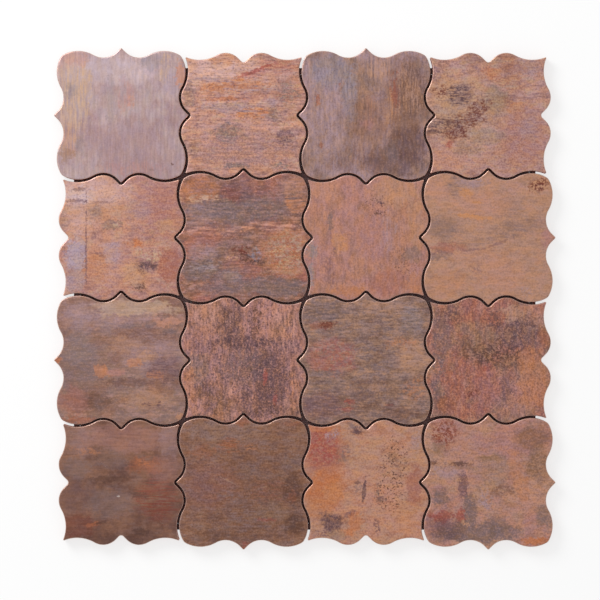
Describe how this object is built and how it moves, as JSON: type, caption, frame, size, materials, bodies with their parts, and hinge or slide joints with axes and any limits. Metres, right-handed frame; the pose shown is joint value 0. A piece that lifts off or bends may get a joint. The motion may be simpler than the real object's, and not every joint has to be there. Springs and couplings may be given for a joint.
{
  "type": "arabesque mosaic tile sheet",
  "caption": "Cloth-backed mosaic sheet of aged copper tiles in two interlocking arabesque shapes, pointed and notched, laid alternately for walls and splashbacks.",
  "frame": {"origin": "under the centre of the sheet, on the floor it lies on", "axes": "+Z out of the tiles' faces, +X along the rows from column 1 to column 4, +Y from row 4 to row 1"},
  "size_m": [0.3078, 0.3078, 0.008],
  "materials": {
    "pale_mauve_copper": "satin, brushed, with an aged and clouded copper patina",
    "orange_copper": "satin, brushed, with an aged and clouded copper patina",
    "brown_copper": "satin, brushed, with an aged and clouded copper patina",
    "dark_copper": "satin, brushed, with an aged and clouded copper patina",
    "backing": "matt, closely woven coated glass fibre"
  },
  "bodies": {
    "root": {"woven_backing": "backing", "pointed_tile_row1_column1": "pale_mauve_copper", "notched_tile_row1_column2": "orange_copper", "pointed_tile_row1_column3": "brown_copper", "notched_tile_row1_column4": "orange_copper", "notched_tile_row2_column1": "orange_copper", "pointed_tile_row2_column2": "brown_copper", "notched_tile_row2_column3": "orange_copper", "pointed_tile_row2_column4": "orange_copper", "pointed_tile_row3_column1": "brown_copper", "notched_tile_row3_column2": "brown_copper", "pointed_tile_row3_column3": "brown_copper", "notched_tile_row3_column4": "brown_copper", "notched_tile_row4_column1": "dark_copper", "pointed_tile_row4_column2": "dark_copper", "notched_tile_row4_column3": "orange_copper", "pointed_tile_row4_column4": "orange_copper"}
  },
  "joints": []
}
